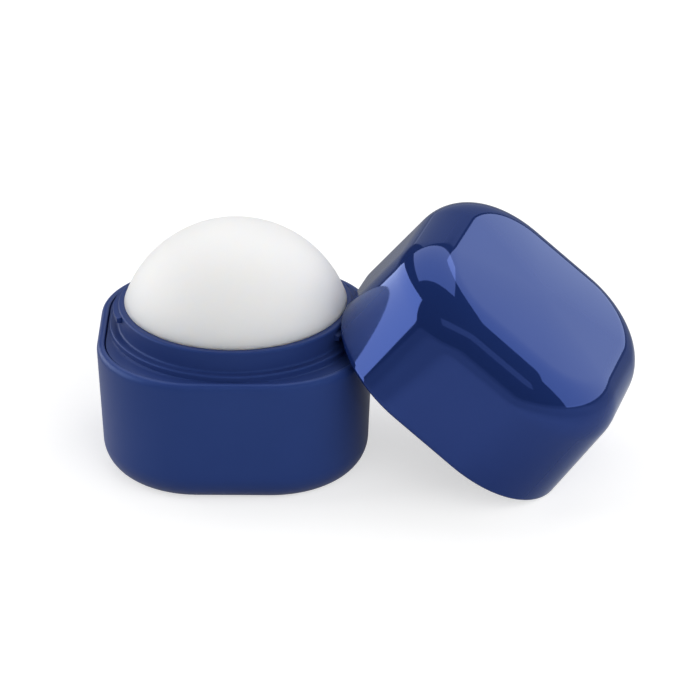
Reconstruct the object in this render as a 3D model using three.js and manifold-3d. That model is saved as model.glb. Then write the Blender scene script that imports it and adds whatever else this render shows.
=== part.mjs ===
// Lip balm cube: a rounded-square container that parts at half its height. The base carries a dome
// of balm in a screw neck, and the cap is off, standing on its mouth's edge and leaning over the neck.
import * as THREE from 'three';
import { mergeVertices } from 'three/addons/utils/BufferGeometryUtils.js';
import Module from 'manifold-3d';

// Sizes are in millimetres and angles in degrees, +Z is up, and the origin is the middle of the foot.

// Outer form that base and cap share
const cubeWidth = 35; // across the flats at the parting line
const cornerRadius = 12.9; // corners seen from above, at the parting line
const draftAngle = 2.4; // lean of the outer walls towards the closed ends
const rimRound = 0.45; // outer edge of both rims
const fitGap = 0.3; // left between pieces that sit in or on each other

// Base shell
const baseHeight = 17.3;
const baseFillet = 4.2; // between the walls and the foot
const baseFloor = 1.5;
const rimWall = 1.0; // beside the insert
const seatLedge = 0.9; // lower wall stands in this far and carries the insert

// Neck insert
const plateThickness = 1.5;
const plateDrop = 0.2; // below the rim
const ringInset = 0.1; // round step, in from the plate's flats
const ringHeight = 0.6; // round step, above the rim
const ringRound = 0.25;
const neckHeight = 3.35; // above the rim
const neckWall = 1.05;
const neckRound = 0.35;
const cupDepth = 6.2; // well for the balm, below the neck's top
const cupFloor = 1.0;
const cupRound = 0.8;

// Openings in the floor of the well that anchor the balm
const anchorCount = 6;
const anchorRadius = 1.8;
const anchorCircle = 8.6; // radius that the openings stand on

// Two-start lug thread
const lugCount = 2;
const lugDepth = 0.65;
const lugHeight = 0.95; // at the root
const lugFlank = 0.2; // taken off each side at the tip
const lugTopDrop = 0.1; // highest end, below the neck's top
const lugLead = 5; // rise in one turn
const lugStart = 198; // azimuth of the highest end
const lugSpan = 50;
const threadGap = 0.1; // running gap of the closed thread
const capLugHeight = 0.75;
const capLugSpan = 25;
const capLugEntry = 12; // past the neck lug's highest end when closed

// Balm
const balmLip = 0.25; // dome's edge overhangs the neck's bore
const domeRise = 10.05; // above its edge

// Cap shell and its liner
const capFillet = 5.85; // between the walls and the top
const capCrown = 0.6; // swell of the top
const capTop = 1.3;
const capWall = 0.8; // beside the liner
const capLedge = 0.8; // wall above stands in this far and stops the liner
const headroom = 1.6; // liner's dome to the cap's top
const linerWall = 0.9; // dome
const collarWall = 0.5; // thinnest, at the flats
const collarRaise = 0.15; // collar's foot, clear of the neck's round step when closed
const collarCrest = 1.1; // collar above its shoulder
const airGap = 0.25; // liner to balm when closed
const shoulderGap = 0.15; // liner's shoulder to the neck's top when closed

// Where the cap stands
const capTilt = 37.6;
const capTurn = -15.6; // way it leans, from +X
const capAside = 5.2; // square to that way
const leanGap = 0.15; // to the neck, and least to the balm

// Fineness of the facets
const cornerSteps = 8; // in a quarter of a rounded square
const turnSteps = 48; // round the neck and the balm
const filletSteps = 6;
const domeSteps = 10;
const lugSteps = 10;
const anchorSteps = 16;
const sunk = 0.3; // overlap of solids that are joined

const radians = THREE.MathUtils.degToRad;
const half = cubeWidth / 2;
const draft = Math.tan(radians(draftAngle));
const leanIn = (depth) => draft * Math.max(depth - rimRound, 0); // of a wall, below its rim

// Levels and radii that follow from the sizes
const ringTop = baseHeight + ringHeight;
const neckTop = baseHeight + neckHeight;
const shoulderHeight = neckHeight + shoulderGap; // above the cap's mouth
const collarFoot = ringHeight + collarRaise;
const collarTop = shoulderHeight + collarCrest;
const boreRadius = half - leanIn(collarTop) - capWall - fitGap - collarWall;
const lugRadius = boreRadius - threadGap;
const neckRadius = lugRadius - lugDepth;
const wellRadius = neckRadius - neckWall;
const wellFloor = neckTop - cupDepth;
const plateTop = baseHeight - plateDrop;
const plateInset = rimWall + fitGap;
const ringRadius = half - plateInset - ringInset;
const domeEdge = neckTop + fitGap;
const domeEdgeRadius = wellRadius + balmLip;
const domeRadius = (domeEdgeRadius ** 2 + domeRise ** 2) / (2 * domeRise);
const domeCentre = domeEdge + domeRise - domeRadius;
const linerRadius = domeRadius + airGap;
const linerCentre = domeCentre - baseHeight; // in the cap's own frame
const capHeight = linerCentre + linerRadius + linerWall + headroom + capTop;

const wasm = await Module();
wasm.setup();

// Closed geometry as a solid that can be joined and cut
function solid(geometry) {
  const bare = geometry.clone();
  bare.deleteAttribute('normal');
  bare.deleteAttribute('uv');
  const merged = mergeVertices(bare);
  const corners = merged.index.array;
  const triangles = [];
  for (let i = 0; i < corners.length; i += 3) {
    const [a, b, c] = corners.slice(i, i + 3);
    // triangles that close up at a pole are left out
    if (a !== b && b !== c && c !== a) triangles.push(a, b, c);
  }
  const vertProperties = merged.attributes.position.array;
  return new wasm.Manifold(new wasm.Mesh({ numProp: 3, vertProperties, triVerts: new Uint32Array(triangles) }));
}

// Geometry of a finished solid
function geometryOf(body) {
  const mesh = body.getMesh();
  const geometry = new THREE.BufferGeometry();
  geometry.setAttribute('position', new THREE.BufferAttribute(mesh.vertProperties, 3));
  geometry.setIndex(new THREE.BufferAttribute(mesh.triVerts, 1));
  geometry.computeVertexNormals();
  return geometry;
}

// Closed surface drawn through rings of points, from one pole to the other
function skin(firstPole, rings, lastPole) {
  const points = [firstPole, ...rings.flat(), lastPole];
  const count = rings[0].length;
  const lastRing = points.length - 1 - count;
  const index = [];
  for (let side = 0; side < count; side += 1) {
    const next = (side + 1) % count;
    index.push(0, 1 + next, 1 + side);
    for (let start = 1; start < lastRing; start += count) {
      const [a, b] = [start + side, start + next];
      index.push(a, b, b + count, a, b + count, a + count);
    }
    index.push(lastRing + side, lastRing + next, points.length - 1);
  }
  const geometry = new THREE.BufferGeometry().setFromPoints(points);
  geometry.setIndex(index);
  return geometry;
}

// Solid of revolution about Z, from a profile of [radius, height] that starts and ends on the axis
function turned(profile, steps = turnSteps) {
  const points = profile.map(([radius, height]) => new THREE.Vector2(radius, height));
  return new THREE.LatheGeometry(points, steps).rotateX(Math.PI / 2);
}

// Points of an arc as [across, up], by angles from the across direction
function arc(across, up, radius, from, to, steps = filletSteps) {
  const points = [];
  for (let step = 0; step <= steps; step += 1) {
    const angle = radians(from + ((to - from) * step) / steps);
    points.push([across + radius * Math.cos(angle), up + radius * Math.sin(angle)]);
  }
  return points;
}

// Rounded square that lies an even distance inside the parting line's outline, at one height
function outline([inset, height], share = 1) {
  const reach = (half - inset) * share;
  const corner = Math.max(cornerRadius - inset, rimRound) * share;
  const points = [];
  for (let quarter = 0; quarter < 4; quarter += 1) {
    for (let step = 0; step <= cornerSteps; step += 1) {
      const angle = radians(90 * (quarter + step / cornerSteps));
      const middle = radians(90 * quarter + 45);
      const x = (reach - corner) * Math.sign(Math.cos(middle)) + corner * Math.cos(angle);
      const y = (reach - corner) * Math.sign(Math.sin(middle)) + corner * Math.sin(angle);
      points.push(new THREE.Vector3(x, y, height));
    }
  }
  return points;
}

// Rounded-square cup, its closed end at z = 0: up the outside, over the rim and down the inside
function cup({ height, fillet, crown, floor, wall, ledge, ledgeDepth }) {
  const foot = crown + fillet;
  const footInset = leanIn(height - foot);
  const innerFillet = Math.max(fillet - wall - ledge, rimRound);
  const innerFoot = floor + innerFillet;
  const innerInset = (up) => wall + leanIn(height - up);
  const seat = height - ledgeDepth;
  const profile = [
    ...arc(footInset + fillet, foot, -fillet, 90, 0),
    ...arc(rimRound, height - rimRound, -rimRound, 0, -90),
    [wall, height],
    [innerInset(seat), seat],
    [innerInset(seat) + ledge, seat],
    ...arc(innerInset(innerFoot) + ledge + innerFillet, innerFoot, -innerFillet, 0, 90),
  ];
  const rings = profile.map((point) => outline(point));
  const swell = [0.35, 0.7].map((share) => outline([footInset + fillet, crown * share ** 2], share));
  const crowned = crown > 0 ? [...swell, ...rings] : rings;
  return skin(new THREE.Vector3(0, 0, 0), crowned, new THREE.Vector3(0, 0, floor));
}

// Solid between rounded squares, from a profile of [inset, height] that goes upwards
function prism(profile) {
  const rings = profile.map((point) => outline(point));
  const pole = ([, height]) => new THREE.Vector3(0, 0, height);
  return skin(pole(profile[0]), rings, pole(profile[profile.length - 1]));
}

// Helical ridge that ends at the azimuth and height given, between two radii with a height at each
function lug({ inner, innerHeight, outer, outerHeight, end, span, height }) {
  const section = [[inner, -innerHeight], [inner, innerHeight], [outer, outerHeight], [outer, -outerHeight]];
  const ringAt = (turn, corners) => corners.map(([radius, tall]) => {
    const angle = radians(end - turn);
    const level = height - (lugLead * turn) / 360 + tall / 2;
    return new THREE.Vector3(radius * Math.cos(angle), radius * Math.sin(angle), level);
  });
  const middle = [[(inner + outer) / 2, 0]];
  const rings = [];
  for (let step = 0; step <= lugSteps; step += 1) rings.push(ringAt(span * (1 - step / lugSteps), section));
  return skin(ringAt(span, middle)[0], rings, ringAt(0, middle)[0]);
}

// The same solid at equal turns about the axis
function turnsOf(count, make) {
  return Array.from({ length: count }, (_, i) => solid(make((360 * i) / count)));
}

// Round posts on the well's floor, one in the middle and a circle of them
function anchors(radius, from, to) {
  const post = (x, y) => {
    const geometry = new THREE.CylinderGeometry(radius, radius, to - from, anchorSteps);
    return solid(geometry.rotateX(Math.PI / 2).translate(x, y, (from + to) / 2));
  };
  const posts = [post(0, 0)];
  for (let i = 0; i < anchorCount; i += 1) {
    const angle = (2 * Math.PI * i) / anchorCount;
    posts.push(post(anchorCircle * Math.cos(angle), anchorCircle * Math.sin(angle)));
  }
  return posts;
}

const joined = (first, others) => others.reduce((body, other) => body.add(other), first);
const pierced = (first, others) => others.reduce((body, other) => body.subtract(other), first);

function baseShell() {
  return cup({
    height: baseHeight,
    fillet: baseFillet,
    crown: 0,
    floor: baseFloor,
    wall: rimWall,
    ledge: seatLedge,
    ledgeDepth: plateDrop + plateThickness + fitGap,
  });
}

// Plate inside the rim, round step, threaded neck and the well below it, moulded in one
function neckInsert() {
  const plateFoot = plateTop - plateThickness;
  const plate = prism([
    [plateInset + leanIn(baseHeight - plateFoot), plateFoot],
    [plateInset + leanIn(plateDrop), plateTop],
  ]);
  const wellFoot = wellFloor - cupFloor;
  const neck = turned([
    [0, wellFoot],
    ...arc(neckRadius - cupRound, wellFoot + cupRound, cupRound, -90, 0),
    [neckRadius, plateTop - sunk],
    [ringRadius, plateTop - sunk],
    ...arc(ringRadius - ringRound, ringTop - ringRound, ringRound, 0, 90, 3),
    [neckRadius, ringTop],
    ...arc(neckRadius - neckRound, neckTop - neckRound, neckRound, 0, 90, 4),
    [0, neckTop],
  ]);
  const bevel = neckRound / 2;
  const well = turned([
    [0, wellFloor],
    ...arc(wellRadius - cupRound, wellFloor + cupRound, cupRound, -90, 0, 3),
    [wellRadius, neckTop - bevel],
    [wellRadius + bevel, neckTop],
    [wellRadius + bevel, neckTop + sunk],
    [0, neckTop + sunk],
  ]);
  const lugs = turnsOf(lugCount, (turn) => lug({
    inner: neckRadius - sunk,
    innerHeight: lugHeight,
    outer: lugRadius,
    outerHeight: lugHeight - 2 * lugFlank,
    end: lugStart + turn,
    span: lugSpan,
    height: neckTop - lugTopDrop - lugHeight / 2,
  }));
  const moulding = joined(solid(plate).add(solid(neck)), lugs).subtract(solid(well));
  return geometryOf(pierced(moulding, anchors(anchorRadius, wellFoot - sunk, wellFloor + sunk)));
}

// Dome on a plug that fills the well and the openings in its floor
function balmDome() {
  const plugFoot = wellFloor + fitGap;
  const plugRadius = wellRadius - fitGap;
  const edgeAngle = THREE.MathUtils.radToDeg(Math.asin((domeEdge - domeCentre) / domeRadius));
  const dome = arc(0, domeCentre, domeRadius, edgeAngle, 90, domeSteps);
  const body = turned([
    [0, plugFoot],
    ...arc(plugRadius - cupRound, plugFoot + cupRound, cupRound, -90, 0, 3),
    [plugRadius, domeEdge],
    ...dome.slice(0, -1),
    [0, domeCentre + domeRadius],
  ]);
  const pegs = anchors(anchorRadius - fitGap, wellFloor - cupFloor, plugFoot + sunk);
  return geometryOf(joined(solid(body), pegs));
}

// Cap's frame: mouth at z = 0, top upwards, turned as it is when closed
function capShell() {
  const shell = cup({
    height: capHeight,
    fillet: capFillet,
    crown: capCrown,
    floor: capTop,
    wall: capWall,
    ledge: capLedge,
    ledgeDepth: collarTop + fitGap,
  });
  return shell.rotateX(Math.PI).translate(0, 0, capHeight);
}

// Collar inside the cap's mouth with the lugs that pass under the neck's, and the dome over the balm
function capLiner() {
  const collarInset = capWall + fitGap;
  const collar = prism([
    [collarInset + leanIn(collarFoot), collarFoot],
    [collarInset + leanIn(collarTop), collarTop],
  ]);
  const edgeOn = (radius, height) => THREE.MathUtils.radToDeg(Math.asin((height - linerCentre) / radius));
  const outerRadius = linerRadius + linerWall;
  const domeFoot = collarTop - sunk;
  const outerArc = arc(0, linerCentre, outerRadius, edgeOn(outerRadius, domeFoot), 90, domeSteps);
  const dome = turned([
    [0, domeFoot],
    ...outerArc.slice(0, -1),
    [0, linerCentre + outerRadius],
  ]);
  const innerArc = arc(0, linerCentre, linerRadius, edgeOn(linerRadius, shoulderHeight), 90, domeSteps);
  const hollow = turned([
    [0, collarFoot - sunk],
    [boreRadius, collarFoot - sunk],
    [boreRadius, shoulderHeight],
    ...innerArc.slice(0, -1),
    [0, linerCentre + linerRadius],
  ]);
  const neckLugFoot = neckHeight - lugTopDrop - lugHeight;
  const entryDrop = (lugLead * capLugEntry) / 360;
  const lugs = turnsOf(lugCount, (turn) => lug({
    inner: neckRadius + threadGap,
    innerHeight: capLugHeight - 2 * lugFlank,
    outer: boreRadius + collarWall / 2,
    outerHeight: capLugHeight,
    end: lugStart + turn - capLugEntry,
    span: capLugSpan,
    height: neckLugFoot - entryDrop - threadGap - capLugHeight / 2,
  }));
  const moulding = solid(collar).add(solid(dome)).subtract(solid(hollow));
  return geometryOf(joined(moulding, lugs));
}

function piece(name, geometry, color, roughness) {
  const material = new THREE.MeshStandardMaterial({ color, roughness, metalness: 0 });
  const mesh = new THREE.Mesh(geometry, material);
  mesh.name = name;
  return mesh;
}

// The mouth's edge stands on the floor, and the cap is as near as the neck and the dome allow
function leaningCap() {
  const sin = Math.sin(radians(capTilt));
  const cos = Math.cos(radians(capTilt));
  const edge = half - rimRound;
  const rise = edge * sin + rimRound * (1 - cos);
  const neckReach = neckRadius - neckRound + ((neckTop - neckRound - rise) * cos + neckRound) / sin;
  const upper = rise + edge * sin + rimRound * cos;
  const clear = domeRadius + rimRound + leanGap;
  const domeReach = Math.sqrt(clear ** 2 - (upper - domeCentre) ** 2) + edge * cos - rimRound * sin;
  const reach = Math.max(neckReach + leanGap / sin, domeReach);
  const tilted = new THREE.Group();
  tilted.rotation.y = radians(capTilt);
  tilted.position.set(reach, capAside, rise);
  const aimed = new THREE.Group();
  aimed.rotation.z = radians(capTurn);
  aimed.add(tilted);
  tilted.add(piece('cap_shell', capShell(), '#1d3478', 0.12));
  tilted.add(piece('cap_liner', capLiner(), '#203a80', 0.4));
  return aimed;
}

const lipBalmCube = new THREE.Group();
lipBalmCube.name = 'lip_balm_cube';
lipBalmCube.add(piece('base_shell', baseShell(), '#213c85', 0.35));
lipBalmCube.add(piece('neck_insert', neckInsert(), '#1f3678', 0.35));
lipBalmCube.add(piece('balm', balmDome(), '#f0f0ee', 0.5));
lipBalmCube.add(leaningCap());

export default lipBalmCube;
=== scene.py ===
# Lip balm cube: a base with its dome of balm, and the glossy cap that leans beside it
import math

import bpy
from mathutils import Matrix, Vector


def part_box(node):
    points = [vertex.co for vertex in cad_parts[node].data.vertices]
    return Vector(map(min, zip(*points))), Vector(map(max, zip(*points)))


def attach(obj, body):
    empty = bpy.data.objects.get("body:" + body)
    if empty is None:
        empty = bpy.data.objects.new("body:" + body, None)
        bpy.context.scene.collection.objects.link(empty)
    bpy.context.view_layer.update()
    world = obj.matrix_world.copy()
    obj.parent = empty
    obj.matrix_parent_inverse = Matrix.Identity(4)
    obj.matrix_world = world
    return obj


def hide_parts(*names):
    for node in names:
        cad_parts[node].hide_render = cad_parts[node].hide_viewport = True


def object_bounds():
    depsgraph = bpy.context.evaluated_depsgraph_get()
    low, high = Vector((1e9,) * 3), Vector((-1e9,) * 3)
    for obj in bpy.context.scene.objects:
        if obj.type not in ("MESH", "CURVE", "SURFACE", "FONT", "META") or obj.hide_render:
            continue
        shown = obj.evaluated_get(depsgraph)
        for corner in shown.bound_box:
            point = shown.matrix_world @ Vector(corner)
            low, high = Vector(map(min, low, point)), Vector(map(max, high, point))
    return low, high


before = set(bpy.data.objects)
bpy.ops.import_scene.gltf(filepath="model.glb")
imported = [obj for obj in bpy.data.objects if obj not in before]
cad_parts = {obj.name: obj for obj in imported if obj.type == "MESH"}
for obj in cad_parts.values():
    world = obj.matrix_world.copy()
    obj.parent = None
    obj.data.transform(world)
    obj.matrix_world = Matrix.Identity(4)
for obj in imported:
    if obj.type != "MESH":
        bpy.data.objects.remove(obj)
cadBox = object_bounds()
mm = 0.001
quarter = math.pi / 2
scene = bpy.context.scene
scene.view_settings.view_transform = "Standard"
print("frame loaded:", sorted(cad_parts))


# Nodes: a wire is one output, and sums or products of wires add Math nodes
class Wire:
    def __init__(self, graph, socket):
        self.graph = graph
        self.socket = socket

    def __getitem__(self, name):
        return Wire(self.graph, self.socket.node.outputs[name])

    def __add__(self, other):
        return self.graph.maths("ADD", self, other)

    def __radd__(self, other):
        return self.graph.maths("ADD", other, self)

    def __sub__(self, other):
        return self.graph.maths("SUBTRACT", self, other)

    def __rsub__(self, other):
        return self.graph.maths("SUBTRACT", other, self)

    def __mul__(self, other):
        return self.graph.maths("MULTIPLY", self, other)

    def __rmul__(self, other):
        return self.graph.maths("MULTIPLY", other, self)

    def __truediv__(self, other):
        return self.graph.maths("DIVIDE", self, other)


class Graph:
    def __init__(self, tree):
        self.tree = tree

    # settings go first, because some of them change which sockets there are
    def node(self, kind, settings=None, sockets=None, out=0):
        made = self.tree.nodes.new(kind)
        for name, value in (settings or {}).items():
            setattr(made, name, value)
        for name, value in (sockets or {}).items():
            if isinstance(value, Wire):
                self.tree.links.new(value.socket, made.inputs[name])
            else:
                made.inputs[name].default_value = value
        return Wire(self, made.outputs[out]) if len(made.outputs) else made

    def maths(self, operation, *values):
        return self.node("ShaderNodeMath", {"operation": operation}, dict(enumerate(values)))

    def vector(self, operation, *values):
        out = "Value" if operation == "DISTANCE" else "Vector"
        return self.node("ShaderNodeVectorMath", {"operation": operation}, dict(enumerate(values)), out)

    def scaled(self, vector, factor):
        return self.node("ShaderNodeVectorMath", {"operation": "SCALE"}, {0: vector, "Scale": factor})

    def point(self, x, y, z):
        return self.node("ShaderNodeCombineXYZ", None, {"X": x, "Y": y, "Z": z})

    def onCircle(self, angle, radius, height):
        return self.point(self.maths("COSINE", angle) * radius, self.maths("SINE", angle) * radius, height)


# Form that base and cap share, in millimetres, read from the frame where it gives it
baseLow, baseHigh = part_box("base_shell")
capLow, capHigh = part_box("cap_shell")
cube = {
    "half": (baseHigh.x - baseLow.x) / 2 / mm,  # at the parting line
    "corner": 12.9,  # radius of the corners seen from above
    "cornerPoints": 40,
    "draft": math.radians(2.4),
    "rimRound": 0.45,
    "lipRound": 0.15,  # inner edge of both rims
    "gap": 0.3,  # between pieces that sit in each other
    "bore": 15.726,  # radius in the cap that the thread's sizes start from
    "around": 240,  # columns of faces round a piece
    "edgeMargin": 0.12,  # rows stand this close to an edge
    "edgeShare": 0.25,  # but no further along than this share of the straight
    "weld": 0.001,
}
half = cube["half"]


def leanIn(depth):
    return math.tan(cube["draft"]) * max(depth - cube["rimRound"], 0)


# A station is one ring of a piece, as (inset, height, share, roundness) in millimetres:
# inset from the parting line's outline, share of the ring's size, 0 a rounded square to 1 a circle
def square(inset, height, share=1):
    return (inset, height, share, 0)


def circle(radius, height):
    return (half - radius, height, 1, 1)


def pole(height):
    return (0, height, 0, 1)


def arc(across, up, radius, start, stop, steps):
    turns = [start + (stop - start) * step / steps for step in range(steps + 1)]
    return [(across + radius * math.cos(turn), up + radius * math.sin(turn)) for turn in turns]


def squares(points):
    return [square(inset, height) for inset, height in points]


def circles(points):
    return [circle(radius, height) for radius, height in points]


# Stations on the straight from one to the next, close to both ends so that edges stay crisp
def straight(first, last, steps, margin=cube["edgeMargin"]):
    length = math.hypot(last[0] - first[0], last[1] - first[1])
    near = min(margin / max(length, margin), cube["edgeShare"])
    shares = [near + (1 - 2 * near) * step / steps for step in range(steps + 1)]
    return [tuple(a + (b - a) * share for a, b in zip(first, last)) for share in shares]


def newTree(name, inputs):
    tree = bpy.data.node_groups.new(name, "GeometryNodeTree")
    for socket, kind in inputs.items():
        tree.interface.new_socket(socket, in_out="INPUT", socket_type="NodeSocket" + kind)
    tree.interface.new_socket("Mesh", in_out="OUTPUT", socket_type="NodeSocketGeometry")
    graph = Graph(tree)
    return tree, graph, graph.node("NodeGroupInput")


def endTree(graph, shape, finish):
    whole = graph.node("GeometryNodeRealizeInstances", None, {0: shape})
    done = graph.node("GeometryNodeSetMaterial", None, {0: whole, "Material": finish})
    graph.node("NodeGroupOutput", None, {0: done})


# Tree that skins rings: a grid whose rows are the stations and whose columns go round the outline
def ringFormTree():
    tree, graph, given = newTree("ringForm", {
        "Stations": "Object", "Width": "Float", "Corner": "Float", "Around": "Int", "Finish": "Material",
    })
    width, corner, around = given["Width"], given["Corner"], given["Around"]
    stations = graph.node("GeometryNodeObjectInfo", None, {"Object": given["Stations"]}, "Geometry")
    onCurve = {"component": "CURVE"}
    rows = graph.node("GeometryNodeAttributeDomainSize", onCurve, {0: stations}, "Point Count")
    grid = graph.node("GeometryNodeMeshGrid", None, {"Vertices X": around + 1, "Vertices Y": rows})
    index = graph.node("GeometryNodeInputIndex")
    column = graph.maths("FLOOR", (index + 0.5) / rows)  # the half keeps clear of rounding
    row = index - column * rows
    turn = column / around

    # the row's station, with its roundness kept as the curve's radius
    def atRow(kind, value):
        settings = {"data_type": kind, "domain": "POINT"}
        return graph.node("GeometryNodeSampleIndex", settings, {0: stations, "Value": value, "Index": row})

    place = atRow("FLOAT_VECTOR", graph.node("GeometryNodeInputPosition"))
    roundness = atRow("FLOAT", graph.node("GeometryNodeInputRadius"))
    parts = graph.node("ShaderNodeSeparateXYZ", None, {0: place})
    inset, height, share = parts["X"], parts["Y"], parts["Z"]

    # rounded square: it starts with a corner's bend, the circle an eighth of a turn before that bend's middle
    plan = graph.node("GeometryNodeCurvePrimitiveQuadrilateral", None, {"Width": width, "Height": width})
    bend = {"Curve": plan, "Count": cube["cornerPoints"], "Radius": corner, "Limit Radius": True}
    plan = graph.node("GeometryNodeFilletCurve", {"mode": "POLY"}, bend)
    perimeter = 4 * width - (8 - 2 * math.pi) * corner
    bendMiddle = corner * (math.pi / 4) / perimeter
    factor = graph.maths("FRACT", turn + bendMiddle + (1 - 1 / 8))
    sample = graph.node("GeometryNodeSampleCurve", {"mode": "FACTOR"}, {"Curves": plan, "Factor": factor})
    outward = graph.vector("CROSS_PRODUCT", sample["Tangent"], (0, 0, 1))
    outward = graph.vector("NORMALIZE", outward)
    flatSided = graph.vector("SUBTRACT", sample["Position"], graph.scaled(outward, inset))
    turned = graph.onCircle(turn * (2 * math.pi), width / 2 - inset, 0)
    mixed = {0: roundness, 4: flatSided, 5: turned}
    ring = graph.node("ShaderNodeMix", {"data_type": "VECTOR"}, mixed, 1)
    spot = graph.vector("ADD", graph.scaled(ring, share), graph.point(0, 0, height))
    shaped = graph.node("GeometryNodeSetPosition", None, {"Geometry": grid, "Position": spot})
    weld = {"Geometry": shaped, "Distance": cube["weld"] * mm}
    closed = graph.node("GeometryNodeMergeByDistance", None, weld)
    smooth = graph.node("GeometryNodeSetShadeSmooth", None, {0: closed, "Shade Smooth": True})
    endTree(graph, smooth, given["Finish"])
    return tree


# Tree for thread lugs: a ridge that climbs a helix to its end, repeated round the axis
def threadLugTree():
    tree, graph, given = newTree("threadLugs", {
        "Count": "Int", "Steps": "Int", "Edge Points": "Int",
        "Inner Radius": "Float", "Outer Radius": "Float", "Inner Height": "Float", "Outer Height": "Float",
        "Edge": "Float", "End": "Float", "Span": "Float", "Lead": "Float", "Level": "Float",
        "Finish": "Material",
    })
    inner, outer, steps = given["Inner Radius"], given["Outer Radius"], given["Steps"]
    index = graph.node("GeometryNodeInputIndex")
    back = given["Span"] * (1 - index / (steps - 1))
    level = given["Level"] - given["Lead"] * back / (2 * math.pi)
    spot = graph.onCircle(given["End"] - back, (inner + outer) / 2, level)
    line = graph.node("GeometryNodeCurvePrimitiveLine")
    line = graph.node("GeometryNodeResampleCurve", {"mode": "COUNT"}, {"Curve": line, "Count": steps})
    helix = graph.node("GeometryNodeSetPosition", None, {"Geometry": line, "Position": spot})
    helix = graph.node("GeometryNodeSetCurveNormal", {"mode": "Z_UP"}, {"Curve": helix})
    sizes = {
        "Bottom Width": given["Inner Height"],
        "Top Width": given["Outer Height"],
        "Height": outer - inner,
        "Offset": 0.0,
    }
    section = graph.node("GeometryNodeCurvePrimitiveQuadrilateral", {"mode": "TRAPEZOID"}, sizes)
    bend = {"Curve": section, "Count": given["Edge Points"], "Radius": given["Edge"], "Limit Radius": True}
    section = graph.node("GeometryNodeFilletCurve", {"mode": "POLY"}, bend)
    section = graph.node("GeometryNodeTransform", None, {"Geometry": section, "Rotation": (0, 0, -quarter)})
    swept = {"Curve": helix, "Profile Curve": section, "Fill Caps": True}
    ridge = graph.node("GeometryNodeCurveToMesh", None, swept)
    points = graph.node("GeometryNodePoints", None, {"Count": given["Count"]})
    turn = graph.point(0, 0, index * (2 * math.pi) / given["Count"])
    placed = {"Points": points, "Instance": ridge, "Rotation": turn}
    endTree(graph, graph.node("GeometryNodeInstanceOnPoints", None, placed), given["Finish"])
    return tree


# Runs a tree once and keeps its result as a plain mesh at the origin
def grow(name, tree, values):
    holder = bpy.data.objects.new(name, bpy.data.meshes.new(name))
    scene.collection.objects.link(holder)
    modifier = holder.modifiers.new(tree.name, "NODES")
    modifier.node_group = tree
    for item in tree.interface.items_tree:
        if item.item_type == "SOCKET" and item.in_out == "INPUT":
            modifier[item.identifier] = values[item.name]
    result = holder.evaluated_get(bpy.context.evaluated_depsgraph_get())
    mesh = bpy.data.meshes.new_from_object(result)
    holder.modifiers.clear()
    holder.data = mesh
    mesh.name = name
    print(name, "grown:", len(mesh.vertices), "points,", len(mesh.polygons), "faces")
    return holder


def ringForm(name, stations, finish, around=cube["around"]):
    curve = bpy.data.curves.new(name + "Stations", "CURVE")
    curve.dimensions = "3D"
    spline = curve.splines.new("POLY")
    spline.points.add(len(stations) - 1)
    for point, (inset, height, share, roundness) in zip(spline.points, stations):
        point.co = (inset * mm, height * mm, share, 1)
        point.radius = roundness
    holder = bpy.data.objects.new(curve.name, curve)
    scene.collection.objects.link(holder)
    piece = grow(name, skinTree, {
        "Stations": holder,
        "Width": 2 * half * mm,
        "Corner": cube["corner"] * mm,
        "Around": around,
        "Finish": finish,
    })
    bpy.data.objects.remove(holder)
    return piece


# Finishes
def newLook(name):
    look = bpy.data.materials.new(name)
    look.use_nodes = True
    look.node_tree.nodes.clear()
    graph = Graph(look.node_tree)
    return look, graph, graph.node("ShaderNodeTexCoord", None, None, "Object")


def noise(graph, place, scale, detail):
    return graph.node("ShaderNodeTexNoise", None, {"Vector": place, "Scale": scale, "Detail": detail})


def tint(graph, mask, first, second):
    colours = {0: mask, 6: (*first, 1), 7: (*second, 1)}
    return graph.node("ShaderNodeMix", {"data_type": "RGBA"}, colours, 2)


def bumps(graph, height):
    return graph.node("ShaderNodeBump", None, {"Strength": 1.0, "Distance": mm, "Height": height})


def finishLook(graph, sockets):
    shader = graph.node("ShaderNodeBsdfPrincipled", None, sockets)
    graph.node("ShaderNodeOutputMaterial", None, {"Surface": shader})


# What all the blue mouldings share; rubs are noise stretched along one direction and cut off at its loss
moulding = {
    "flowDetail": 3.0, "grainDetail": 1.0, "rubDetail": 4.0,
    "rubTurn": (0.4, 0.9, 0.3), "rubStretch": (1, 1, 14), "rubGain": 2.2, "rubLoss": 0.9, "rubSoft": 0.2,
    "ior": 1.5,
}
noiseMiddle = 0.5


# Moulded blue plastic: flow of the pigment, grain of the mould, faint rubs that dull the gloss
def bluePlastic(name, finish):
    look, graph, place = newLook(name)
    flow = noise(graph, place, finish["flowScale"], moulding["flowDetail"])
    grain = noise(graph, place, finish["grainScale"], moulding["grainDetail"])
    stretch = {"Vector": place, "Rotation": moulding["rubTurn"], "Scale": moulding["rubStretch"]}
    stretched = graph.node("ShaderNodeMapping", None, stretch)
    rubs = noise(graph, stretched, finish["rubScale"], moulding["rubDetail"])
    rubs = rubs * moulding["rubGain"] - moulding["rubLoss"]
    rubs = graph.maths("SMOOTH_MIN", rubs, 1.0, moulding["rubSoft"])
    rubs = graph.maths("MAXIMUM", rubs, 0.0)
    gloss = finish["roughness"] + (flow - noiseMiddle) * finish["flowDulls"] + rubs * finish["rubDulls"]
    finishLook(graph, {
        "Base Color": tint(graph, flow, finish["deep"], finish["light"]),
        "Metallic": finish["metallic"],
        "Roughness": gloss,
        "IOR": moulding["ior"],
        "Specular IOR Level": finish["specular"],
        "Specular Tint": (*finish["specularTint"], 1),
        "Normal": bumps(graph, grain * finish["grainDepth"] + flow * finish["flowDepth"]),
    })
    return look


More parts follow.
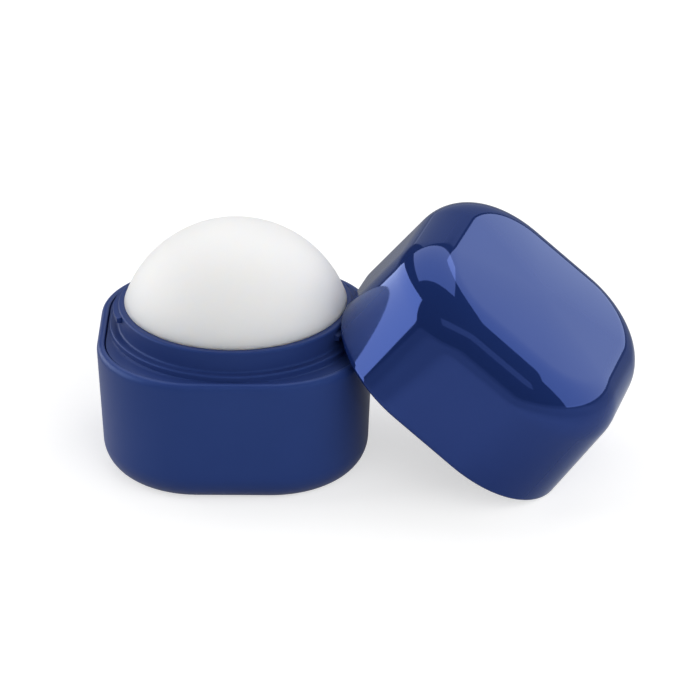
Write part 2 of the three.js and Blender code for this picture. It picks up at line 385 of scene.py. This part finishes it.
# White wax: milky, with faint swirls from pouring and a soft uneven skin
def whiteWax(name, finish):
    look, graph, place = newLook(name)
    swirl = noise(graph, place, finish["swirlScale"], finish["swirlDetail"])
    skin = noise(graph, place, finish["skinScale"], finish["skinDetail"])
    finishLook(graph, {
        "Base Color": tint(graph, swirl, finish["cool"], finish["warm"]),
        "Roughness": finish["roughness"] + (swirl - noiseMiddle) * finish["swirlDulls"],
        "IOR": finish["ior"],
        "Specular IOR Level": finish["specular"],
        "Subsurface Weight": finish["milkiness"],
        "Subsurface Radius": finish["milkRadius"],
        "Subsurface Scale": finish["milkDepth"] * mm,
        "Normal": bumps(graph, skin * finish["skinDepth"]),
    })
    return look


finishes = {
    "base": {
        "deep": (0.0215, 0.0445, 0.179), "light": (0.025, 0.051, 0.199), "metallic": 0.0,
        "roughness": 0.36, "specular": 0.4, "specularTint": (0.25, 0.45, 1.0),
        "flowScale": 110, "flowDulls": 0.04, "flowDepth": 0.006,
        "grainScale": 1900, "grainDepth": 0.0005, "rubScale": 240, "rubDulls": 0.012,
    },
    "neck": {
        "deep": (0.02, 0.0405, 0.16), "light": (0.023, 0.046, 0.178), "metallic": 0.0,
        "roughness": 0.36, "specular": 0.25, "specularTint": (0.25, 0.45, 1.0),
        "flowScale": 130, "flowDulls": 0.04, "flowDepth": 0.006,
        "grainScale": 1900, "grainDepth": 0.0005, "rubScale": 260, "rubDulls": 0.012,
    },
    "cap": {
        "deep": (0.0175, 0.0435, 0.205), "light": (0.0195, 0.0485, 0.226), "metallic": 0.5,
        "roughness": 0.05, "specular": 0.55, "specularTint": (0.72, 0.83, 1.0),
        "flowScale": 90, "flowDulls": 0.02, "flowDepth": 0.003,
        "grainScale": 1400, "grainDepth": 0.0001, "rubScale": 210, "rubDulls": 0.02,
    },
    "liner": {
        "deep": (0.019, 0.038, 0.15), "light": (0.022, 0.044, 0.17), "metallic": 0.2,
        "roughness": 0.4, "specular": 1.0, "specularTint": (0.25, 0.45, 1.0),
        "flowScale": 130, "flowDulls": 0.06, "flowDepth": 0.02,
        "grainScale": 4600, "grainDepth": 0.003, "rubScale": 260, "rubDulls": 0.04,
    },
    "wax": {
        "cool": (0.83, 0.835, 0.84), "warm": (0.86, 0.858, 0.85),
        "roughness": 0.48, "specular": 0.35, "ior": 1.45,
        "swirlScale": 120, "swirlDetail": 3.0, "swirlDulls": 0.1,
        "skinScale": 420, "skinDetail": 2.0, "skinDepth": 0.02,
        "milkiness": 1.0, "milkDepth": 6.0, "milkRadius": (1.0, 0.92, 0.82),
    },
}
baseFinish = bluePlastic("basePlastic", finishes["base"])
neckFinish = bluePlastic("neckPlastic", finishes["neck"])
capFinish = bluePlastic("capPlastic", finishes["cap"])
linerFinish = bluePlastic("linerPlastic", finishes["liner"])
waxFinish = whiteWax("balmWax", finishes["wax"])
skinTree = ringFormTree()
lugTree = threadLugTree()
print("finishes and trees made")

# Rows of faces on a cup: shares of the way out from the middle, or steps and what they keep from the edges
cupRows = {
    "swell": (0.15, 0.35, 0.55, 0.75, 0.9, 0.98), "floor": (0.9, 0.45),
    "fillet": 28, "wall": (8, 0.4), "rim": 10, "land": (2, 0.08), "lip": 5,
    "inside": 3, "ledge": (2, 0.08), "innerFillet": 10,
}


# Rounded-square cup, closed end at height 0: up the outside, over the rim, down the inside
def cupStations(cup):
    height, fillet, crown = cup["height"], cup["fillet"], cup["crown"]
    rim, lip, lean = cup["rim"], cube["lipRound"], cube["draft"]
    footReach = half - leanIn(height - crown - fillet) - fillet
    brow = math.atan2(2 * crown, footReach)  # slope of the swell where the fillet takes over
    filletUp = crown + fillet * math.cos(brow)
    wallFoot = filletUp - fillet * math.sin(lean)
    filletIn = leanIn(height - wallFoot) + fillet * math.cos(lean)
    outside = arc(filletIn, filletUp, -fillet, quarter - brow, lean, cupRows["fillet"])
    footInset, footUp = outside[0]
    swell = [square(footInset, footUp * share ** 2, share) for share in cupRows["swell"]]
    wall = straight(square(*outside[-1]), square(0, height - rim), *cupRows["wall"])
    rimArc = arc(rim, height - rim, -rim, 0, -quarter, cupRows["rim"])
    lipArc = arc(cup["wall"] - lip, height - lip, lip, quarter, 0, cupRows["lip"])
    land = straight(square(*rimArc[-1]), square(*lipArc[0]), *cupRows["land"])

    def innerInset(up):
        return cup["wall"] + leanIn(height - up)

    seat = height - cup["ledgeDepth"]
    ledge = [square(innerInset(seat), seat), square(innerInset(seat) + cup["ledge"], seat)]
    innerFillet = max(fillet - cup["wall"] - cup["ledge"], cube["rimRound"])
    innerFoot = cup["floor"] + innerFillet
    innerIn = innerInset(innerFoot) + cup["ledge"] + innerFillet
    inner = arc(innerIn, innerFoot, -innerFillet, 0, quarter, cupRows["innerFillet"])
    floor = [square(inner[-1][0], cup["floor"], share) for share in cupRows["floor"]]
    return [
        pole(0), *swell, *squares(outside), *wall, *squares(rimArc), *land, *squares(lipArc),
        *straight(square(*lipArc[-1]), ledge[0], cupRows["inside"]), ledge[0],
        *straight(*ledge, *cupRows["ledge"]), ledge[1],
        *straight(ledge[1], square(*inner[0]), cupRows["inside"]), *squares(inner),
        *floor, pole(cup["floor"]),
    ]


# Base shell
baseCup = {
    "height": (baseHigh.z - baseLow.z) / mm,
    "fillet": 4.2,
    "crown": 0.0,
    "rim": 0.8,
    "floor": 1.5,
    "wall": 1.0,
    "ledge": 0.9,
    "ledgeDepth": 2.0,
}
baseShell = ringForm("base_shell_outer", cupStations(baseCup), baseFinish)
rimLevel = baseCup["height"]

# Two-start lug thread on the neck
lugs = {
    "count": 2, "steps": 40, "depth": 0.65, "height": 0.95, "flank": 0.2, "edge": 0.1, "edgePoints": 4,
    "sunk": 0.3, "gap": 0.1, "topDrop": 0.1, "lead": 5.0, "end": 198.0, "span": 50.0,
}

# Neck insert: plate inside the rim, round step, neck and the well below, in one closed skin
neck = {
    "plateDrop": 0.2, "plateInset": 1.12, "plateRound": 0.08,
    "ringRadius": 16.1, "ringHeight": 0.6, "ringRound": 0.22,
    "height": 3.35, "wall": 1.05, "topRound": 0.35, "rootRound": 0.3,
    "wellDepth": 6.2, "wellFloor": 1.0, "wellRound": 0.8,
}
neckRows = {
    "under": 6, "underSide": 3, "plateEdge": 4, "plate": (5, 0.1), "ringSide": (2, 0.05), "ringEdge": 8,
    "ringTop": (3, 0.08), "root": 8, "side": 4, "topEdge": 10, "top": (2, 0.06), "boreEdge": 6,
    "bore": 4, "well": 6,
}
neckRadius = cube["bore"] - lugs["gap"] - lugs["depth"]
wellRadius = neckRadius - neck["wall"]
neckTop = rimLevel + neck["height"]
wellFloor = neckTop - neck["wellDepth"]


def neckStations():
    plateTop = rimLevel - neck["plateDrop"]
    plateFoot = rimLevel - baseCup["ledgeDepth"] + cube["gap"]
    ringTop = rimLevel + neck["ringHeight"]
    wellFoot = wellFloor - neck["wellFloor"]
    ring, inset, edge = neck["ringRadius"], neck["plateInset"], neck["plateRound"]
    wellRound, ringRound, topRound = neck["wellRound"], neck["ringRound"], neck["topRound"]
    root, bore = neck["rootRound"], topRound / 2
    under = arc(neckRadius - wellRound, wellFoot + wellRound, wellRound, -quarter, 0, neckRows["under"])
    plateEdge = arc(inset + edge, plateTop - edge, -edge, 0, -quarter, neckRows["plateEdge"])
    ringEdge = arc(ring - ringRound, ringTop - ringRound, ringRound, 0, quarter, neckRows["ringEdge"])
    neckRoot = arc(neckRadius + root, ringTop + root, root, -quarter, -2 * quarter, neckRows["root"])
    neckEdge = arc(neckRadius - topRound, neckTop - topRound, topRound, 0, quarter, neckRows["topEdge"])
    boreEdge = arc(wellRadius + bore, neckTop - bore, bore, quarter, 2 * quarter, neckRows["boreEdge"])
    wellRoot = arc(wellRadius - wellRound, wellFloor + wellRound, wellRound, 0, -quarter, neckRows["well"])
    plateSide = inset + leanIn(rimLevel - plateFoot)
    plateUnder = circle(neckRadius, plateFoot)
    ringFoot = circle(ring, plateTop)
    return [
        pole(wellFoot), circle(neckRadius / 2, wellFoot), *circles(under),
        *straight(circle(*under[-1]), plateUnder, neckRows["underSide"]), plateUnder,
        square(plateSide + edge, plateFoot), square(plateSide, plateFoot + edge), *squares(plateEdge),
        *straight(square(*plateEdge[-1]), ringFoot, *neckRows["plate"]), ringFoot,
        *straight(ringFoot, circle(*ringEdge[0]), *neckRows["ringSide"]), *circles(ringEdge),
        *straight(circle(*ringEdge[-1]), circle(*neckRoot[0]), *neckRows["ringTop"]), *circles(neckRoot),
        *straight(circle(*neckRoot[-1]), circle(*neckEdge[0]), neckRows["side"]), *circles(neckEdge),
        *straight(circle(*neckEdge[-1]), circle(*boreEdge[0]), *neckRows["top"]), *circles(boreEdge),
        *straight(circle(*boreEdge[-1]), circle(*wellRoot[0]), neckRows["bore"]), *circles(wellRoot),
        circle(neckRadius / 2, wellFloor), pole(wellFloor),
    ]


neckInsert = ringForm("neck_insert_moulding", neckStations(), neckFinish)


# Lugs from one radius to another: each pair is (radius, height of the ridge there)
def growLugs(name, inner, outer, end, span, level, finish):
    return grow(name, lugTree, {
        "Count": lugs["count"],
        "Steps": lugs["steps"],
        "Edge Points": lugs["edgePoints"],
        "Inner Radius": inner[0] * mm,
        "Outer Radius": outer[0] * mm,
        "Inner Height": inner[1] * mm,
        "Outer Height": outer[1] * mm,
        "Edge": lugs["edge"] * mm,
        "End": math.radians(end),
        "Span": math.radians(span),
        "Lead": lugs["lead"] * mm,
        "Level": level * mm,
        "Finish": finish,
    })


lugRoot = (neckRadius - lugs["sunk"], lugs["height"])
lugCrest = (neckRadius + lugs["depth"], lugs["height"] - 2 * lugs["flank"])
lugLevel = neckTop - lugs["topDrop"] - lugs["height"] / 2
neckLugs = growLugs("neck_lugs", lugRoot, lugCrest, lugs["end"], lugs["span"], lugLevel, neckFinish)

# Balm: dome on a plug that fills the well
balm = {
    "lip": 0.25,  # dome's edge overhangs the neck's bore
    "lift": 0.3,  # dome's edge above the neck
    "rise": 10.05,
    "edgeRound": 0.22,
    "edgeStart": math.radians(-80),
    "around": 192,
}
balmRows = {"foot": 6, "side": 3, "edge": 8, "dome": 48}


def balmStations():
    edgeUp = neckTop + balm["lift"]
    edgeRadius = wellRadius + balm["lip"]
    domeRadius = (edgeRadius ** 2 + balm["rise"] ** 2) / (2 * balm["rise"])
    domeUp = edgeUp + balm["rise"] - domeRadius
    edgeTurn = math.asin((edgeUp - domeUp) / domeRadius)
    edgeReach = domeRadius - balm["edgeRound"]
    edgeIn, edgeHeight = edgeReach * math.cos(edgeTurn), domeUp + edgeReach * math.sin(edgeTurn)
    plugRadius = wellRadius - cube["gap"]
    plugFoot = wellFloor + cube["gap"]
    plugRound = neck["wellRound"]
    foot = arc(plugRadius - plugRound, plugFoot + plugRound, plugRound, -quarter, 0, balmRows["foot"])
    edge = arc(edgeIn, edgeHeight, balm["edgeRound"], balm["edgeStart"], edgeTurn, balmRows["edge"])
    dome = arc(0, domeUp, domeRadius, edgeTurn, quarter, balmRows["dome"])
    plugTop = circle(plugRadius, edge[0][1])
    return [
        pole(plugFoot), circle(plugRadius / 2, plugFoot), *circles(foot),
        *straight(circle(*foot[-1]), plugTop, balmRows["side"]), plugTop,
        *circles(edge), *circles(dome[1:-1]), pole(domeUp + domeRadius),
    ]


balmDome = ringForm("balm_dome", balmStations(), waxFinish, balm["around"])

# Cap: built with its mouth at height 0, then turned and set where the frame's cap stands
capCup = {
    "height": 17.75,
    "fillet": 5.85,
    "crown": 0.6,
    "rim": cube["rimRound"],
    "floor": 1.3,
    "wall": 0.8,
    "ledge": 0.8,
    "ledgeDepth": 4.9,
}
capLean = {"tilt": math.radians(37.6), "turn": math.radians(-15.6)}
capStations = [
    (inset, capCup["height"] - up, share, roundness)
    for inset, up, share, roundness in reversed(cupStations(capCup))
]
capShell = ringForm("cap_shell_outer", capStations, capFinish)
capTurn = Matrix.Rotation(capLean["turn"], 4, "Z") @ Matrix.Rotation(capLean["tilt"], 4, "Y")
capShell.data.transform(capTurn)
spread = [[vertex.co[axis] for vertex in capShell.data.vertices] for axis in range(3)]
middle = Vector([(min(values) + max(values)) / 2 for values in spread])
capShift = Matrix.Translation((capLow + capHigh) / 2 - middle)
capShell.data.transform(capShift)
capPlace = capShift @ capTurn

# Cap liner: collar in the mouth and the hollow dome that closes over the balm
liner = {
    "clear": 0.15,  # from the neck's step and top when the cap is on
    "footRound": 0.12,
    "domeRadius": 15.27, "domeUp": -1.32, "domeWall": 0.9,
}
linerRows = {"dome": 32, "shoulder": (2, 0.05), "bore": 4, "foot": 4, "side": 4, "crest": (3, 0.05)}


def linerStations():
    edge, domeUp, inner = liner["footRound"], liner["domeUp"], liner["domeRadius"]
    outer = inner + liner["domeWall"]
    foot = neck["ringHeight"] + liner["clear"]
    shoulder = neck["height"] + liner["clear"]
    top = capCup["ledgeDepth"] - cube["gap"]
    inset = capCup["wall"] + cube["gap"]
    hollow = arc(0, domeUp, inner, quarter, math.asin((shoulder - domeUp) / inner), linerRows["dome"])
    crest = arc(0, domeUp, outer, math.asin((top - domeUp) / outer), quarter, linerRows["dome"])
    boreTop = circle(cube["bore"], shoulder)
    boreFoot = arc(cube["bore"] + edge, foot + edge, -edge, 0, quarter, linerRows["foot"])
    sideFoot = inset + leanIn(foot)
    sideTop = inset + leanIn(top)
    outerFoot = square(sideFoot, foot + edge)
    outerTop = square(sideTop, top - edge)
    crestSquare = square(sideTop + edge, top)
    return [
        pole(domeUp + inner), *circles(hollow[1:]),
        *straight(circle(*hollow[-1]), boreTop, *linerRows["shoulder"]), boreTop,
        *straight(boreTop, circle(*boreFoot[0]), linerRows["bore"]), *circles(boreFoot),
        square(sideFoot + edge, foot), outerFoot,
        *straight(outerFoot, outerTop, linerRows["side"]), outerTop, crestSquare,
        *straight(crestSquare, circle(*crest[0]), *linerRows["crest"]), *circles(crest[:-1]),
        pole(domeUp + outer),
    ]


capLiner = ringForm("cap_liner_moulding", linerStations(), linerFinish)
capLiner.data.transform(capPlace)

# Lugs in the collar that pass under the neck's when the cap is screwed on
capLugs = {"height": 0.75, "span": 25.0, "entry": 12.0, "sunk": 0.25}
lugFoot = neck["height"] - lugs["topDrop"] - lugs["height"] - lugs["lead"] * capLugs["entry"] / 360
capLugCrest = (neckRadius + lugs["gap"], capLugs["height"] - 2 * lugs["flank"])
capLugRoot = (cube["bore"] + capLugs["sunk"], capLugs["height"])
capLugEnd = lugs["end"] - capLugs["entry"]
capLugLevel = lugFoot - lugs["gap"] - capLugs["height"] / 2
linerLugs = growLugs(
    "cap_liner_lugs", capLugCrest, capLugRoot, capLugEnd, capLugs["span"], capLugLevel, linerFinish,
)
linerLugs.data.transform(capPlace)
print("pieces made")

# Pale sweep: a floor that turns up far behind and all round; near the object it is paper that takes the
# shadow, further off it glows white to the eye, and reflections see only a share of the glow
sweep = {
    "drop": 0.02,  # keeps the floor clear of the foot
    "flat": 1500.0, "bend": 600.0, "rise": math.radians(40),
    "rings": (0.25, 0.5), "bendRows": 12, "around": 96,
    "middle": (18.0, -20.0, 0.0), "near": 45.0, "away": 85.0,  # paper gives way to glow from near to away
    "paperNear": 0.58, "paperAway": 0.2, "glowNear": 0.57, "glowAway": 0.95, "paperRoughness": 0.6,
    "front": 0.0, "back": 50.0, "glossFront": 0.24, "glossBack": 0.1,  # share of the glow in reflections
}


def paleSweep():
    look, graph, place = newLook("paleSweep")
    rays = graph.node("ShaderNodeLightPath")
    distance = graph.vector("DISTANCE", place, tuple(along * mm for along in sweep["middle"]))
    depth = graph.node("ShaderNodeSeparateXYZ", None, {0: place}, "Y")

    def ramp(value, start, stop, first, last):
        reach = {"From Min": sweep[start] * mm, "From Max": sweep[stop] * mm}
        ends = {"To Min": sweep[first], "To Max": sweep[last]}
        return graph.node("ShaderNodeMapRange", None, {"Value": value, **reach, **ends})

    inGloss = ramp(depth, "front", "back", "glossFront", "glossBack")
    seen = rays["Is Camera Ray"] + rays["Is Transmission Ray"] + rays["Is Glossy Ray"] * inGloss
    white = ramp(distance, "near", "away", "paperNear", "paperAway")
    shine = ramp(distance, "near", "away", "glowNear", "glowAway")
    colour = graph.node("ShaderNodeCombineColor", None, {0: white, 1: white, 2: white})
    matt = {"Color": colour, "Roughness": sweep["paperRoughness"]}
    paper = graph.node("ShaderNodeBsdfDiffuse", None, matt)
    glow = graph.node("ShaderNodeEmission", None, {"Strength": seen * shine})
    both = graph.node("ShaderNodeAddShader", None, {0: paper, 1: glow})
    graph.node("ShaderNodeOutputMaterial", None, {"Surface": both})
    return look


floorLevel = -sweep["drop"]
bendUp = sweep["bend"] + floorLevel
upturn = arc(sweep["flat"], bendUp, sweep["bend"], -quarter, sweep["rise"] - quarter, sweep["bendRows"])
flatPart = [circle(sweep["flat"] * share, floorLevel) for share in sweep["rings"]]
floorStations = [pole(floorLevel), *flatPart, *circles(upturn)]
floor = ringForm("sweep_floor", floorStations, paleSweep(), sweep["around"])

# Lamps: flat panels. Each faces the object from a bearing and a height angle, and reaches so far to its
# left, right, low and high sides, in shares of its distance; glow is how bright it looks. Those that
# aren't mirrored only light, without showing in the gloss
lamps = {
    "overPanel": {
        "bearing": 98, "up": 58, "roll": -20, "distance": 0.7, "glow": 1.45, "mirrored": True,
        "left": 0.52, "right": 0.64, "low": -0.46, "high": 0.49,
    },
    "rightPanel": {
        "bearing": 24, "up": 0, "roll": 0, "distance": 0.55, "glow": 1.52, "mirrored": True,
        "left": 0.76, "right": 1.25, "low": 0.04, "high": 1.24,
    },
    "backPanel": {
        "bearing": 82, "up": 0, "roll": 0, "distance": 0.8, "glow": 0.32, "mirrored": True,
        "left": 0.4, "right": 0.32, "low": 0.02, "high": 0.58,
    },
    "leftPanel": {
        "bearing": 200, "up": 0, "roll": 0, "distance": 0.4, "glow": 2.8, "mirrored": True,
        "left": 0.0, "right": 3.5, "low": -0.03, "high": 1.03,
    },
    "frontCard": {
        "bearing": -85, "up": 38, "roll": -10, "distance": 0.9, "glow": 0.42, "mirrored": True,
        "left": 0.44, "right": 0.44, "low": -0.1, "high": 0.1,
    },
    "frontFill": {
        "bearing": -90, "up": 24, "roll": 0, "distance": 0.9, "glow": 0.65, "mirrored": False,
        "left": 0.8, "right": 0.8, "low": -0.42, "high": 0.42,
    },
    "rightFill": {
        "bearing": -55, "up": 30, "roll": 0, "distance": 0.6, "glow": 2.0, "mirrored": False,
        "left": 0.45, "right": 0.45, "low": -0.4, "high": 0.4,
    },
}
objectMiddle = (cadBox[0] + cadBox[1]) / 2
for name, lamp in lamps.items():
    bearing, up, roll = (math.radians(lamp[angle]) for angle in ("bearing", "up", "roll"))
    turned = Matrix.Rotation(bearing, 3, "Z") @ Matrix.Rotation(-up, 3, "Y") @ Matrix.Rotation(roll, 3, "X")
    away, aside, upright = turned.col  # out to the panel, leftwards, upwards
    wide = (lamp["left"] + lamp["right"]) * lamp["distance"]
    tall = (lamp["high"] - lamp["low"]) * lamp["distance"]
    offset = aside * (lamp["left"] - lamp["right"]) / 2 + upright * (lamp["high"] + lamp["low"]) / 2
    light = bpy.data.lights.new(name, "AREA")
    light.shape = "RECTANGLE"
    light.size = wide
    light.size_y = tall
    light.energy = lamp["glow"] * math.pi * wide * tall
    holder = bpy.data.objects.new(name, light)
    place = Matrix.Translation(objectMiddle + (away + offset) * lamp["distance"])
    facing = Matrix((aside, upright, away)).transposed()  # lamps shine along their own -Z
    holder.matrix_world = place @ facing.to_4x4()
    holder.visible_camera = False
    holder.visible_glossy = lamp["mirrored"]
    scene.collection.objects.link(holder)

# Dim room round the panels
room = {"colour": (0.045, 0.045, 0.047), "strength": 1.0}
dimRoom = bpy.data.worlds.new("dimRoom")
dimRoom.use_nodes = True
roomLight = dimRoom.node_tree.nodes["Background"]
roomLight.inputs["Color"].default_value = (*room["colour"], 1)
roomLight.inputs["Strength"].default_value = room["strength"]
scene.world = dimRoom
print("sweep and lamps set")

# Camera, as the photograph was taken
camera = {
    "lens": 203.2, "sensor": 36.0, "elevation": 26.63, "turn": 0.63, "distance": 512.9,
    "aim": (14.51, 5.62, 10.88), "nearest": 10.0, "furthest": 20000.0,
}
elevation, turn = math.radians(camera["elevation"]), math.radians(camera["turn"])
reach = math.cos(elevation)
back = Vector((math.sin(turn) * reach, -math.cos(turn) * reach, math.sin(elevation)))
eye = bpy.data.cameras.new("productCamera")
eye.lens = camera["lens"]
eye.sensor_width = camera["sensor"]
eye.clip_start = camera["nearest"] * mm
eye.clip_end = camera["furthest"] * mm
eyeHolder = bpy.data.objects.new("productCamera", eye)
eyeHolder.location = (Vector(camera["aim"]) + back * camera["distance"]) * mm
eyeHolder.rotation_euler = back.to_track_quat("Z", "Y").to_euler()
scene.collection.objects.link(eyeHolder)
scene.camera = eyeHolder

# What each piece rides on, stands for and is made of
for piece, body, node, slot in (
    (baseShell, "base", "base_shell", "base_plastic"),
    (neckInsert, "base", "neck_insert", "neck_plastic"),
    (neckLugs, "base", "neck_insert", "neck_plastic"),
    (balmDome, "base", "balm", "balm_wax"),
    (capShell, "cap", "cap_shell", "cap_plastic"),
    (capLiner, "cap", "cap_liner", "liner_plastic"),
    (linerLugs, "cap", "cap_liner", "liner_plastic"),
):
    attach(piece, body)
    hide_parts(node)
